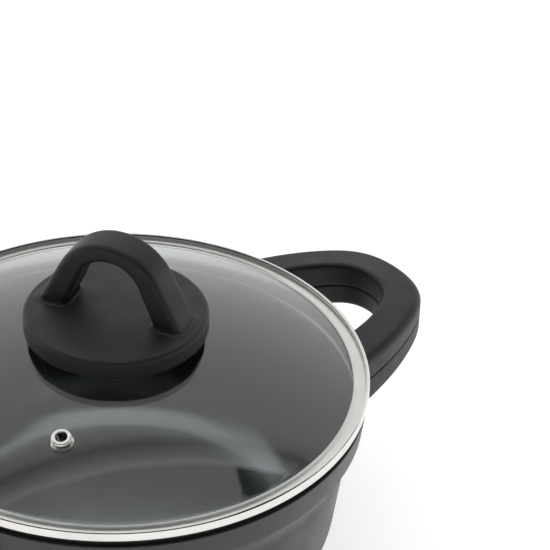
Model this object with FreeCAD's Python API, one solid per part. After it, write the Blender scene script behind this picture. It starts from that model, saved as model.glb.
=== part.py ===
"""Two-handled cooking pot, nominal 20 cm, with a domed glass lid.

Millimetres, +Z up. The origin is the middle of the base, on the surface it stands on.
The loop handles lie on +X (right) and -X (left).
"""
import FreeCAD, Part
import math
import os

V = FreeCAD.Vector
UP = V(0, 0, 1)

FIT_GAP = 0.1           # clearance between pieces that sit in each other
OVERRUN = 1.0           # how far a cutting tool runs past the surface it cuts

# ---- driving dimensions: pot ----
POT_H = 86.0            # height of the lip
LIP_R = 100.5           # outside of the dark rebate under the lid
LIP_DROP = 2.9          # height of that rebate
COLLAR_R = 102.4        # outside of the collar, at its top
CORNER_R = 101.1        # outside of the collar, at its lower corner
CORNER_Z = 71.6
SHOULDER_MID = (97.2, 66.0)     # a point of the curve from the collar's corner into the bowl
WALL_TOP_R = 95.2       # outside of the bowl, below that curve
WALL_TOP_Z = 57.5
WALL_LEAN = 7.0         # lean of the bowl's wall, in degrees
BASE_ROUND = 30.0       # radius of the outer base curve
WALL_T = 3.4            # wall thickness
FLOOR_T = 6.0           # floor thickness
FLOOR_ROUND = 24.0      # radius of the inner floor curve
MOUTH_R = 98.3          # inside of the mouth
LEDGE_R = 96.9          # inner edge of the small ledge below the mouth
LEDGE_Z = 76.4
LEDGE_SLOPE = 1.0       # height of the slope from the ledge to the mouth's wall
SHOULDER_LIFT = 1.0     # the inner shoulder curve sits this much higher than the outer one
PLATE_R = 60.0          # induction plate let into the base
PLATE_T = 1.5
GROOVE_FIRST = 12       # ring grooves in the plate: first radius, spacing, half width and depth
GROOVE_STEP = 8
GROOVE_HALF = 0.6
GROOVE_DEEP = 0.4

# ---- driving dimensions: lid ----
SEAT_GAP = 0.15         # running gap between lid and lip
RING_R = 103.0          # outside of the steel rim
SHEET_T = 0.5           # rim sheet thickness
RING_LIP = 1.4          # width of the rim's top lip
RING_ROUND = 0.9        # rounding of the rim's outer edges
GLASS_T = 3.5           # glass thickness
GLASS_R = 102.3         # edge of the glass
DOME_FOOT_R = 97.3      # where the dome would meet the flat rim of the glass
DOME_RISE = 21.35       # height of the dome above that flat rim
DOME_FILLET = 4.0       # curve between dome and flat rim
FLANGE_R = 95.6         # inner edge of the flange under the glass
SKIRT_R = 97.3          # outside of the skirt that drops into the mouth
SKIRT_DROP = 7.2        # depth of the skirt below the flange
VENT_R = 64.4           # distance of the steam vent from the middle
VENT_AZ = -144.0        # its bearing
VENT_HOLE = 3.4         # radius of the hole in the glass
EYELET_FLANGE_R = 4.45
EYELET_SHOULDER = 1.0   # the flange's slope, from its edge inwards
EYELET_BORE_R = 2.25
EYELET_TOP = 1.3        # height of the eyelet above the glass
EYELET_EDGE = 0.5       # height of its flange's edge
EYELET_ROUND = 0.5      # rounding of its upper edges
VENT_WASHER_T = 0.43
EYELET_TAIL = 0.6       # length of the eyelet's rolled end below the glass
GLASS_SKIN = 0.12       # play between the glass and a piece that lies on it

# ---- driving dimensions: knob ----
KNOB_R = 37.2           # radius of the round foot
KNOB_SIDE = 8.8         # height of its side
KNOB_CROWN = 0.8        # rise of its top face
KNOB_ROUND = 1.8        # rounding of its upper edge
KNOB_WALL = 3.0         # wall of the hollow foot
KNOB_BOSS_R = 7.0       # boss in the middle of that hollow
KNOB_LIFT = 0.9         # its underside above the glass at the middle
KNOB_AZ = -60.8         # bearing of the arch
ARCH_W = 15.0           # width of the arch band
ARCH_ROUND = 2.6        # rounding of the band's edges
ARCH_FOOT = 31.4        # half span of the arch, outside, at the foot
ARCH_LEAN = 27.2        # lean of its legs, outside
ARCH_FOOT_IN = 19.6     # half span of the opening at the foot
ARCH_LEAN_IN = 23.0     # lean of its legs, inside
ARCH_RISE = 32.2        # top of the arch above the foot's top face
ARCH_T = 7.5            # thickness of the band at the top
ARCH_ROOT = 1.0         # the band starts this far inside the foot
INSERT_SEAT = 2.1       # depth of the cover's recess below the knob's insert
INSERT_OUT = 3.5        # outside of the knob's threaded insert
KNOB_INSERT_L = 4.6     # its length
INSERT_GROOVES = (1.0, 2.8)     # heights of its two grooves
COVER_T = 1.6           # cover of the hollow foot
COVER_SET = 0.4         # how far it is set in
COVER_GAP = 0.2         # play round its edge
COVER_BORE = 2.8        # hole in its middle
GLASS_BORE = 4.0        # radius of the middle hole in the glass
KNOB_SCREW_R = 2.0
KNOB_SCREW_HEAD = (4.6, 2.6, 1.6)   # head radius, height and rounding
KNOB_SCREW_SLOT = (2.4, 0.45, 1.6)  # cross recess: half length, half width and depth
KNOB_SCREW_END = 0.5    # the screw ends this far below the insert's top
SEAL_BORE = 2.3         # hole in the washers round the screw
SEAL_ABOVE_R = 12.0
SEAL_BELOW_R = 9.0
SEAL_T = 2.0            # thickness of the soft washer under the glass
SEAL_COLLAR_SET = 0.7   # how far its collar stays below the top of the glass
KNOB_WASHER_R = 8.0
KNOB_WASHER_T = 1.0
STACK_GAP = 0.05        # play between the pieces clamped by the knob's screw

# ---- driving dimensions: side handles ----
HANDLE_TOP = 83.3
HANDLE_END = 153.4      # outermost point of the loop
HANDLE_LOW = (64.4, 6.9)        # underside at that point, and its slope in degrees
HANDLE_SEAM = (73.6, 3.7)       # the same for the seam between the shells
HANDLE_ROOT = 76.0      # where the loop's outline starts, inside the wall
HANDLE_GAP = 0.1        # gap between handle and wall
SEAM_GAP = 0.2
OUTER_LOOP = [(HANDLE_ROOT, 50.2, 0), (124.2, 38.3, 120), (150.9, 20.2, 22), (HANDLE_END, 0.0, 62)]
INNER_LOOP = [(HANDLE_ROOT, 33.6, 0), (121.0, 21.9, 58), (134.2, 11.6, 11), (137.6, 0.0, 25)]
ROUND_TOP = 5.0         # rounding of the loop's outer edge, above and below
ROUND_LOW = 2.6
ROUND_HOLE = 2.4        # rounding of the finger hole's edges
LUG_Y = (30.0, 38.0)    # lug on the wall, inside each leg of the handle
LUG_X = (92.0, 109.0)
LUG_Z = (69.0, 77.4)
LUG_CLEAR = 0.2
LUG_ROOF = 1.5          # material left above the screw's hole
LUG_SCREW_X = 103.5
SHELL_SCREWS = [(128.0, 26.0), (128.0, -26.0), (145.6, 0.0)]
SCREW_R = 1.75          # shank of the handle screws
SCREW_HEAD_R = 3.4
SCREW_HEAD_T = 2.0
SCREW_HEAD_ROUND = 0.8
SCREW_SLOT = (1.9, 0.35, 1.2)   # cross recess: half length, half width and depth
HEAD_SINK = 1.0         # how far the screw heads sit above the underside
HEAD_CLEAR = 0.3        # play round a head, in radius
SHANK_CLEAR = 0.2       # play round a shank, in radius
THREAD_CLEAR = 0.05     # play of a shank in an insert
TIP_CLEAR = 1.0         # room beyond a screw's tip
INSERT_R = 2.7
INSERT_L = 6.0

lip_z = POT_H
seat_z = POT_H + SEAT_GAP                   # underside of the rim's flange
glass_low = seat_z + SHEET_T                # underside of the glass at its flat rim
glass_top = glass_low + GLASS_T
dome_r = (DOME_FOOT_R ** 2 + DOME_RISE ** 2) / (2 * DOME_RISE)
apex_z = glass_top + DOME_RISE
dome_mid_z = apex_z - dome_r                # middle of the dome's sphere
knob_z = apex_z + KNOB_LIFT                 # underside of the knob
knob_top = knob_z + KNOB_SIDE
insert_low = knob_z + INSERT_SEAT           # underside of the knob's insert
seal_low = apex_z - GLASS_T - SEAL_T        # underside of the soft washer below the glass


# ---- helpers ----
def revolve(edges):
    """A solid of revolution about Z from edges that close a section in the XZ plane."""
    face = Part.Face(Part.Wire(edges))
    solid = face.revolve(V(0, 0, 0), UP, 360)
    return solid if solid.Volume > 0 else solid.reversed()


def line(a, b):
    return Part.LineSegment(V(a[0], 0, a[1]), V(b[0], 0, b[1])).toShape()


def polyline(points):
    """Straight edges through (radius, height) points."""
    return [line(a, b) for a, b in zip(points, points[1:])]


def arc(centre, radius, start, end):
    """Arc in the XZ plane between two angles in degrees, measured from +X towards +Z."""
    def at(angle):
        a = math.radians(angle)
        return V(centre[0] + radius * math.cos(a), 0, centre[1] + radius * math.sin(a))
    return Part.Arc(at(start), at((start + end) / 2), at(end)).toShape()


def through(a, middle, b):
    """Arc in the XZ plane through three (radius, height) points."""
    return Part.Arc(V(a[0], 0, a[1]), V(middle[0], 0, middle[1]), V(b[0], 0, b[1])).toShape()


def ring_of(section):
    """A closed polygon section turned into a ring."""
    return revolve(polyline(section + section[:1]))


def tube(outer, inner, z0, z1, x=0.0, y=0.0):
    body = Part.makeCylinder(outer, z1 - z0, V(x, y, z0))
    if inner > 0:
        body = body.cut(Part.makeCylinder(inner, z1 - z0 + 2 * OVERRUN, V(x, y, z0 - OVERRUN)))
    return body


def box(x0, x1, y0, y1, z0, z1):
    return Part.makeBox(x1 - x0, y1 - y0, z1 - z0, V(x0, y0, z0))


def cross_recess(x, y, z, size):
    """Tool for a cross recess whose mouth is at height z, in the underside of a screw's head."""
    long, thin, deep = size
    bars = [box(x - a, x + a, y - b, y + b, z - OVERRUN, z + deep) for a, b in ((long, thin), (thin, long))]
    return bars[0].fuse(bars[1])


def one(shape):
    """The single solid inside a boolean result."""
    return shape.removeSplitter().Solids[0]


def both_sides(shapes):
    """Each shape, and the same one turned half a circle about Z."""
    result = []
    for shape in shapes:
        turned = shape.copy()
        turned.rotate(V(0, 0, 0), UP, 180)
        result += [shape, turned]
    return result


def level(edge, z):
    """True for an edge that lies in the level plane at height z."""
    extent = edge.BoundBox
    return abs(extent.ZMin - z) < 1e-4 and abs(extent.ZMax - z) < 1e-4


# ---- pot ----
def wall_at(z, offset):
    """Radius of the bowl's straight wall at a height, moved out by offset."""
    lean = math.radians(WALL_LEAN)
    return WALL_TOP_R + (z - WALL_TOP_Z) * math.tan(lean) + offset / math.cos(lean)


def bowl_bottom(offset, corner, floor):
    """Flat floor, corner curve and straight wall, as edges from the middle up to the wall's top."""
    mid_z = floor + corner
    mid_x = wall_at(mid_z, offset) - corner / math.cos(math.radians(WALL_LEAN))
    curve = arc((mid_x, mid_z), corner, -90, -WALL_LEAN)
    touch = curve.Vertexes[1].Point
    top = (wall_at(WALL_TOP_Z, offset), WALL_TOP_Z)
    return [line((0, floor), (mid_x, floor)), curve, line((touch.x, touch.z), top)], top


def shape_outside(grow=0.0):
    """The pot's outer shape as a full solid, moved out by grow, without its hollow."""
    edges, top = bowl_bottom(grow, BASE_ROUND + grow, -grow)
    corner = (CORNER_R + grow, CORNER_Z)
    edges.append(through(top, (SHOULDER_MID[0] + grow, SHOULDER_MID[1]), corner))
    step_z = lip_z - LIP_DROP
    rim = [corner, (COLLAR_R + grow, step_z)]
    if grow == 0:
        rim += [(LIP_R, step_z), (LIP_R, lip_z)]
    else:
        rim += [(COLLAR_R + grow, lip_z)]
    edges += polyline(rim + [(0, lip_z), (0, -grow)])
    return revolve(edges)


def shape_hollow():
    """The space inside the pot, from the floor to above the lip."""
    edges, top = bowl_bottom(-WALL_T, FLOOR_ROUND, FLOOR_T)
    ledge = (LEDGE_R, LEDGE_Z)
    above = lip_z + OVERRUN
    edges.append(through(top, (SHOULDER_MID[0] - WALL_T, SHOULDER_MID[1] + SHOULDER_LIFT), ledge))
    edges += polyline([ledge, (MOUTH_R, LEDGE_Z + LEDGE_SLOPE), (MOUTH_R, above), (0, above), (0, FLOOR_T)])
    return revolve(edges)


def make_pot():
    """Cast bowl with its collar and the four lugs that the handles are screwed to."""
    lug = box(*LUG_X, *LUG_Y, *LUG_Z)
    other_lug = box(*LUG_X, -LUG_Y[1], -LUG_Y[0], *LUG_Z)
    holes = [tube(SCREW_R + FIT_GAP, 0, LUG_Z[0] - OVERRUN, LUG_Z[1] - LUG_ROOF, LUG_SCREW_X, y)
             for y in (sum(LUG_Y) / 2, -sum(LUG_Y) / 2)]
    body = shape_outside().fuse(both_sides([lug, other_lug]))
    body = body.cut(shape_hollow())
    body = body.cut(Part.makeCylinder(PLATE_R + FIT_GAP, PLATE_T + FIT_GAP, V(0, 0, 0)))
    return one(body.cut(both_sides(holes)))


def make_base_plate():
    """Steel disc that lets the pot work on an induction hob, with ring grooves below."""
    plate = tube(PLATE_R, 0, 0, PLATE_T)
    for radius in range(GROOVE_FIRST, int(PLATE_R) - GROOVE_STEP // 2, GROOVE_STEP):
        plate = plate.cut(tube(radius + GROOVE_HALF, radius - GROOVE_HALF, -OVERRUN, GROOVE_DEEP))
    return one(plate)


# ---- side handles ----
def sloped(plane, x):
    """Height of a sloped plane of the handle at x; it rises towards the loop's outer end."""
    end_z, slope = plane
    return end_z - (HANDLE_END - x) * math.tan(math.radians(slope))


def under(plane, lift=0.0):
    """Everything below a sloped plane of the handle, as a block."""
    x0, x1 = HANDLE_ROOT - OVERRUN, HANDLE_END + OVERRUN
    half = OUTER_LOOP[0][1] + OVERRUN
    corners = [(x0, 0), (x1, 0), (x1, sloped(plane, x1) + lift), (x0, sloped(plane, x0) + lift)]
    face = Part.Face(Part.Wire(polyline(corners + corners[:1])))
    face.translate(V(0, -half, 0))
    return face.extrude(V(0, 2 * half, 0))


def rounded(points):
    """Plane wire edges through (x, y, corner radius) points, open at both ends."""
    pts = [V(x, y, 0) for x, y, _ in points]
    edges = []
    start = pts[0]
    for i in range(1, len(pts) - 1):
        before = (pts[i - 1] - pts[i]).normalize()
        after = (pts[i + 1] - pts[i]).normalize()
        half = before.getAngle(after) / 2
        radius = points[i][2]
        cut = radius / math.tan(half)
        a = pts[i] + before * cut
        b = pts[i] + after * cut
        inward = (before + after).normalize()
        middle = pts[i] + inward * (radius / math.sin(half) - radius)
        edges.append(Part.LineSegment(start, a).toShape())
        edges.append(Part.Arc(a, middle, b).toShape())
        start = b
    edges.append(Part.LineSegment(start, pts[-1]).toShape())
    return edges


def loop_solid(half, z0, z1):
    """The closed outline of a half loop and its mirror image, as a prism."""
    other = [(x, -y, r) for x, y, r in reversed(half[:-1])]
    edges = rounded(half + other)
    first = half[0]
    edges.append(Part.LineSegment(V(first[0], -first[1], 0), V(first[0], first[1], 0)).toShape())
    face = Part.Face(Part.Wire(Part.__sortEdges__(edges)))
    face.translate(V(0, 0, z0))
    return face.extrude(V(0, 0, z1 - z0))


def points_of(edge):
    """Start, middle and end of an edge."""
    first, last = edge.FirstParameter, edge.LastParameter
    return [edge.valueAt(first + (last - first) * part) for part in (0, 0.5, 1)]


def on_top(edge):
    return level(edge, HANDLE_TOP) and edge.BoundBox.XMax > HANDLE_ROOT + 1e-3


def on_underside(edge):
    flat = all(abs(p.z - sloped(HANDLE_LOW, p.x)) < 1e-3 for p in points_of(edge))
    return flat and edge.BoundBox.XMax > HANDLE_ROOT + 1e-3


def handle_blank():
    """The whole loop of a handle, before it is split into two shells."""
    blank = loop_solid(OUTER_LOOP, 0, HANDLE_TOP).cut(under(HANDLE_LOW))
    blank = blank.makeFillet(ROUND_TOP, [e for e in blank.Edges if on_top(e)])
    blank = blank.makeFillet(ROUND_LOW, [e for e in blank.Edges if on_underside(e)])
    hole = loop_solid(INNER_LOOP, 0, HANDLE_TOP + OVERRUN)
    blank = blank.cut(hole)
    wall = hole.Shells[0]
    rims = [e for e in blank.Edges if (on_top(e) or on_underside(e))
            and wall.distToShape(Part.Vertex(points_of(e)[1]))[0] < 1e-4]
    return blank.makeFillet(ROUND_HOLE, rims)


def screw(x, y, z_head, length):
    """Pan-head screw, driven upwards, with a cross recess in its head."""
    shape = tube(SCREW_HEAD_R, 0, z_head, z_head + SCREW_HEAD_T, x, y)
    shape = shape.makeFillet(SCREW_HEAD_ROUND, [e for e in shape.Edges if level(e, z_head)])
    shape = shape.fuse(tube(SCREW_R, 0, z_head + SCREW_HEAD_T, z_head + SCREW_HEAD_T + length, x, y))
    return one(shape.cut(cross_recess(x, y, z_head, SCREW_SLOT)))


def make_handle():
    """Pieces of the right-hand handle: shells, screws and inserts."""
    blank = handle_blank().cut(shape_outside(HANDLE_GAP))
    lug_y = sum(LUG_Y) / 2
    for y in (lug_y, -lug_y):
        half = (LUG_Y[1] - LUG_Y[0]) / 2 + LUG_CLEAR
        blank = blank.cut(box(LUG_X[0], LUG_X[1] + LUG_CLEAR, y - half, y + half,
                              LUG_Z[0] - LUG_CLEAR, LUG_Z[1] + LUG_CLEAR))
    upper = blank.cut(under(HANDLE_SEAM, SEAM_GAP))
    lower = blank.common(under(HANDLE_SEAM))
    screws = {"lug": [], "shell": []}
    inserts = []
    places = [("lug", LUG_SCREW_X, lug_y), ("lug", LUG_SCREW_X, -lug_y)]
    places += [("shell", x, y) for x, y in SHELL_SCREWS]
    for kind, x, y in places:
        head_z = sloped(HANDLE_LOW, x) + HEAD_SINK
        shank_z = head_z + SCREW_HEAD_T
        lower = lower.cut(tube(SCREW_HEAD_R + HEAD_CLEAR, 0, head_z - 2 * HEAD_SINK, shank_z, x, y))
        lower = lower.cut(tube(SCREW_R + SHANK_CLEAR, 0, shank_z - OVERRUN, HANDLE_TOP, x, y))
        if kind == "lug":
            top = LUG_Z[1] - LUG_ROOF - TIP_CLEAR
        else:
            seat = sloped(HANDLE_SEAM, x) + 2 * SEAM_GAP
            upper = upper.cut(tube(INSERT_R, 0, seat - OVERRUN, seat + INSERT_L, x, y))
            inserts.append(tube(INSERT_R, SCREW_R + THREAD_CLEAR, seat, seat + INSERT_L, x, y))
            top = seat + INSERT_L - TIP_CLEAR
        screws[kind].append(screw(x, y, head_z, top - shank_z))
    return {
        "upper_shell": max(upper.Solids, key=lambda s: s.Volume),
        "lower_shell": max(lower.Solids, key=lambda s: s.Volume),
        "lug_screws": Part.makeCompound(screws["lug"]),
        "shell_screws": Part.makeCompound(screws["shell"]),
        "inserts": Part.makeCompound(inserts),
    }


# ---- lid ----
def dome_section(offset):
    """Dome arc, its foot curve and where that meets the flat rim, from the middle outwards."""
    radius = dome_r - offset
    flat = glass_top - offset
    fillet = DOME_FILLET + offset
    mid_z = flat + fillet
    mid_x = math.sqrt((radius + fillet) ** 2 - (mid_z - dome_mid_z) ** 2)
    angle = math.degrees(math.atan2(mid_z - dome_mid_z, mid_x))
    dome = arc((0, dome_mid_z), radius, 90, angle)
    foot = arc((mid_x, mid_z), fillet, 180 + angle, 270)
    return dome, foot, (mid_x, flat)


def vent_frame(shape):
    """Moves a piece made on the Z axis, with z = 0 on the outer glass, to the vent's place."""
    tilt = math.degrees(math.asin(VENT_R / dome_r))
    shape.translate(V(0, 0, dome_r))
    shape.rotate(V(0, 0, 0), V(0, 1, 0), tilt)
    shape.translate(V(0, 0, dome_mid_z))
    shape.rotate(V(0, 0, 0), UP, VENT_AZ)
    return shape


def make_glass():
    """Domed glass with a flat rim, a middle hole for the knob and a hole for the vent."""
    dome, foot, flat = dome_section(0)
    dome_low, foot_low, flat_low = dome_section(GLASS_T)
    edges = [dome, foot]
    edges += polyline([flat, (GLASS_R, glass_top), (GLASS_R, glass_low), flat_low])
    edges += [foot_low, dome_low, line((0, apex_z - GLASS_T), (0, apex_z))]
    reach = 2 * GLASS_T
    glass = revolve(edges)
    glass = glass.cut(tube(GLASS_BORE, 0, apex_z - reach, apex_z + reach))
    glass = glass.cut(vent_frame(tube(VENT_HOLE, 0, -reach, reach)))
    return one(glass)


def make_rim_ring():
    """Steel rim: top lip, outer band, flange under the glass and the skirt in the mouth."""
    top = glass_top + SHEET_T
    lip = RING_R - RING_LIP
    inner = RING_R - SHEET_T
    curve = RING_R - RING_ROUND
    bead_r = SHEET_T / 2
    bead_z = seat_z - SKIRT_DROP + bead_r
    edges = polyline([(lip, glass_top), (lip, top), (curve, top)])
    edges.append(arc((curve, top - RING_ROUND), RING_ROUND, 90, 0))
    edges.append(line((RING_R, top - RING_ROUND), (RING_R, seat_z + RING_ROUND)))
    edges.append(arc((curve, seat_z + RING_ROUND), RING_ROUND, 0, -90))
    edges += polyline([(curve, seat_z), (SKIRT_R, seat_z), (SKIRT_R, bead_z)])
    edges.append(arc((SKIRT_R - bead_r, bead_z), bead_r, 0, -180))
    edges += polyline([(SKIRT_R - SHEET_T, bead_z), (SKIRT_R - SHEET_T, seat_z), (FLANGE_R, seat_z),
                       (FLANGE_R, glass_low), (curve, glass_low)])
    edges.append(arc((curve, seat_z + RING_ROUND), RING_ROUND - SHEET_T, -90, 0))
    edges.append(line((inner, seat_z + RING_ROUND), (inner, top - RING_ROUND)))
    edges.append(arc((curve, top - RING_ROUND), RING_ROUND - SHEET_T, 0, 90))
    edges.append(line((curve, glass_top), (lip, glass_top)))
    return revolve(edges)


def make_eyelet():
    """Steam vent: a domed flange on top, a barrel through the glass and a rolled end below."""
    low = -GLASS_T - EYELET_TAIL
    barrel = VENT_HOLE - FIT_GAP
    section = [(EYELET_BORE_R, EYELET_TOP), (EYELET_FLANGE_R - EYELET_SHOULDER, EYELET_TOP),
               (EYELET_FLANGE_R, EYELET_EDGE), (EYELET_FLANGE_R, GLASS_SKIN), (barrel, GLASS_SKIN),
               (barrel, low), (EYELET_BORE_R, low)]
    eyelet = ring_of(section)
    rim = [e for e in eyelet.Edges if level(e, EYELET_TOP)]
    return vent_frame(one(eyelet.makeFillet(EYELET_ROUND, rim)))


def make_eyelet_washer():
    high = -GLASS_T - GLASS_SKIN
    return vent_frame(tube(EYELET_FLANGE_R, VENT_HOLE, high - VENT_WASHER_T, high))


# ---- knob ----
def arch_side(foot, lean, peak, foot_z):
    """One outline of the arch: where its leg starts, its knee, and the top arc's middle and radius."""
    a = math.radians(lean)
    reach = foot * math.cos(a) + knob_top * math.sin(a)
    mid_z = (peak - reach) / (1 - math.sin(a))
    radius = peak - mid_z
    knee = (radius * math.cos(a), mid_z + radius * math.sin(a))
    start = (foot + math.tan(a) * (knob_top - foot_z), foot_z)
    return start, knee, (0, mid_z), radius


def mirrored(point):
    return (-point[0], point[1])


def arch_band():
    """The arch, standing on the foot, with its legs leaning in."""
    peak = knob_top + ARCH_RISE
    foot_z = knob_top - ARCH_ROOT
    start, knee, mid, radius = arch_side(ARCH_FOOT, ARCH_LEAN, peak, foot_z)
    start_in, knee_in, mid_in, radius_in = arch_side(ARCH_FOOT_IN, ARCH_LEAN_IN, peak - ARCH_T, foot_z)
    edges = [line(start, knee), arc(mid, radius, ARCH_LEAN, 180 - ARCH_LEAN)]
    edges += polyline([mirrored(knee), mirrored(start), mirrored(start_in), mirrored(knee_in)])
    edges.append(arc(mid_in, radius_in, 180 - ARCH_LEAN_IN, ARCH_LEAN_IN))
    edges += polyline([knee_in, start_in, start])
    face = Part.Face(Part.Wire(edges))
    face.translate(V(0, -ARCH_W / 2, 0))
    band = face.extrude(V(0, ARCH_W, 0))
    long_edges = [e for e in band.Edges if e.BoundBox.YLength < 1e-4 and not level(e, foot_z)]
    return band.makeFillet(ARCH_ROUND, long_edges)


def make_knob_grip():
    """Round foot and arch in one moulding, hollow below, with a middle boss."""
    crown_r = (KNOB_R ** 2 + KNOB_CROWN ** 2) / (2 * KNOB_CROWN)
    foot = Part.makeCylinder(KNOB_R, KNOB_SIDE, V(0, 0, knob_z))
    foot = foot.common(Part.makeSphere(crown_r, V(0, 0, knob_top - crown_r)))
    upper = [e for e in foot.Edges if e.BoundBox.ZMin > knob_z + OVERRUN and e.BoundBox.ZLength < 1e-2]
    foot = foot.makeFillet(KNOB_ROUND, upper)
    grip = foot.fuse(arch_band())
    grip = grip.cut(tube(KNOB_R - KNOB_WALL, KNOB_BOSS_R, knob_z - OVERRUN, knob_top - KNOB_CROWN - KNOB_WALL))
    grip = grip.cut(tube(KNOB_BOSS_R + FIT_GAP, 0, knob_z - OVERRUN, insert_low))
    grip = grip.cut(tube(INSERT_OUT, 0, knob_z, insert_low + KNOB_INSERT_L))
    grip.rotate(V(0, 0, 0), UP, KNOB_AZ)
    return one(grip)


def make_knob_cover():
    """Cover that closes the underside of the knob."""
    low = knob_z + COVER_SET
    return tube(KNOB_R - KNOB_WALL - COVER_GAP, COVER_BORE, low, low + COVER_T)


def make_knob_insert():
    insert = tube(INSERT_OUT, KNOB_SCREW_R + THREAD_CLEAR, insert_low, insert_low + KNOB_INSERT_L)
    for lift in INSERT_GROOVES:
        z = insert_low + lift
        insert = insert.cut(tube(INSERT_OUT + OVERRUN, INSERT_OUT - GROOVE_DEEP, z, z + 2 * GROOVE_DEEP))
    return one(insert)


def make_seal_above():
    """Soft washer between the knob and the glass, shaped to the dome."""
    disc = tube(SEAL_ABOVE_R, SEAL_BORE, apex_z - GLASS_T, knob_z + COVER_SET - STACK_GAP)
    return one(disc.cut(Part.makeSphere(dome_r + STACK_GAP, V(0, 0, dome_mid_z))))


def make_seal_below():
    """Soft washer under the glass, with a collar that lines the hole."""
    disc = tube(SEAL_BELOW_R, SEAL_BORE, seal_low, apex_z - GLASS_T)
    disc = disc.common(Part.makeSphere(dome_r - GLASS_T - STACK_GAP, V(0, 0, dome_mid_z)))
    collar = tube(GLASS_BORE - FIT_GAP, SEAL_BORE, seal_low + SEAL_T / 2, apex_z - SEAL_COLLAR_SET)
    return one(disc.fuse(collar))


def make_knob_washer():
    high = seal_low - STACK_GAP
    return tube(KNOB_WASHER_R, SEAL_BORE, high - KNOB_WASHER_T, high)


def make_knob_screw():
    """Domed screw from below, through the glass and into the knob's insert."""
    radius, height, rounding = KNOB_SCREW_HEAD
    seat = seal_low - KNOB_WASHER_T - 2 * STACK_GAP
    head = tube(radius, 0, seat - height, seat)
    head = head.makeFillet(rounding, [e for e in head.Edges if level(e, seat - height)])
    shape = head.fuse(tube(KNOB_SCREW_R, 0, seat, insert_low + KNOB_INSERT_L - KNOB_SCREW_END))
    return one(shape.cut(cross_recess(0, 0, seat - height, KNOB_SCREW_SLOT)))


# ---- assembly ----
def assemble():
    parts = {
        "pot_body": make_pot(),
        "induction_plate": make_base_plate(),
        "lid_glass": make_glass(),
        "lid_rim": make_rim_ring(),
        "vent_eyelet": make_eyelet(),
        "vent_washer": make_eyelet_washer(),
        "knob_grip": make_knob_grip(),
        "knob_cover": make_knob_cover(),
        "knob_insert": make_knob_insert(),
        "knob_seal_above": make_seal_above(),
        "knob_seal_below": make_seal_below(),
        "knob_washer": make_knob_washer(),
        "knob_screw": make_knob_screw(),
    }
    for name, shape in make_handle().items():
        for side, piece in zip(("right", "left"), both_sides([shape])):
            parts["handle_" + side + "_" + name] = piece
    return parts


def main():
    os.makedirs("parts", exist_ok=True)
    for name, shape in assemble().items():
        shape.exportStep("parts/" + name + ".step")
        print(f"{name:28s} solids {len(shape.Solids)} valid {shape.isValid()} volume {shape.Volume:.0f}")


main()
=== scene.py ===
"""Looks of the two-handled pot with its glass lid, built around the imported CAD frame.

Blender works in metres, +Z up, in the same frame as the CAD. Shapes are written in
millimetres, with the CAD's own dimensions, and scaled when their mesh is made.
"""
import itertools
import math

import bmesh
import bpy
import numpy as np
from mathutils import Matrix, Vector


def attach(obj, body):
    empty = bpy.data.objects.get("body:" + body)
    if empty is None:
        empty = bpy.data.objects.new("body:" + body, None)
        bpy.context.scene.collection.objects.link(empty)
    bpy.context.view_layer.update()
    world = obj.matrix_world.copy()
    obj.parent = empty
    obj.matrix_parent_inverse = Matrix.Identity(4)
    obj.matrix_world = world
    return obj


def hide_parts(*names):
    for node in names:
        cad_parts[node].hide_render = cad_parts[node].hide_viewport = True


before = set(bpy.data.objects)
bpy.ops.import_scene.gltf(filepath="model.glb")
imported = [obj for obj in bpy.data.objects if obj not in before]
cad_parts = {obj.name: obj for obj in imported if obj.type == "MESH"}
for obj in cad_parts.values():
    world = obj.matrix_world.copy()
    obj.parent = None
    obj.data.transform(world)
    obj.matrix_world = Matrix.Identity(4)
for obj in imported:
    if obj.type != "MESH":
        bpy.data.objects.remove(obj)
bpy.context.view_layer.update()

MM = 0.001
scene = bpy.context.scene

# ---- dimensions of the CAD model, in millimetres and degrees; pairs are (radius, height) ----
POT_H = 86.0
WALL_TOP = (95.2, 57.5)                     # where the straight wall ends
WALL_LEAN = 7.0
WALL_T, FLOOR_T = 3.4, 6.0
CORNER_OUT, CORNER_IN = 30.0, 24.0          # curve from the floor into the wall
PLATE_R, PLATE_T = 60.1, 1.6                # recess for the base plate
COLLAR_WAIST, COLLAR_LOW, COLLAR_TOP = (97.2, 66.0), (101.1, 71.6), (102.4, 83.1)
REBATE_R, MOUTH_R = 100.5, 98.3
LEDGE_Z, LEDGE_FOOT = 77.4, (96.9, 76.4)    # small ledge inside, below the mouth
INNER_WAIST = (93.8, 67.0)
COLLAR_MID, INNER_MID = (101.0, 71.45), (96.6, 75.7)    # on the flaring curves below the collar

LUG_X, LUG_Y, LUG_Z = (93.5, 109.0), 34.0, 73.2
LUG_WIDTH, LUG_HEIGHT = 8.0, 8.4
LUG_SCREW_X = 103.5
LUG_HOLE_R, LUG_HOLE_DEPTH, LUG_HOLE_Z = 1.85, 7.9, 71.95   # the last is the middle of the hole
SHELL_SCREWS = ((128.0, 26.0), (145.6, 0.0))
HEAD_HOLE_R, SHANK_HOLE_R = 3.7, 1.95
HEAD_DEPTH, SHANK_DEPTH = 3.0, 12.0         # above the underside of the handle, above the head

GLASS_LOW, GLASS_TOP, GLASS_R = 86.65, 90.15, 102.3
DOME_FOOT_R, DOME_RISE, DOME_FILLET = 97.3, 21.35, 4.0
DOME_R = (DOME_FOOT_R ** 2 + DOME_RISE ** 2) / (2 * DOME_RISE)
APEX_Z = GLASS_TOP + DOME_RISE
DOME_MID_Z = APEX_Z - DOME_R
BORE_R, DOME_START_R = 4.0, 5.4             # hole in the middle, and where the dome starts round it
VENT_R, VENT_AZ, VENT_HOLE_R = 64.4, -144.0, 3.4

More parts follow.
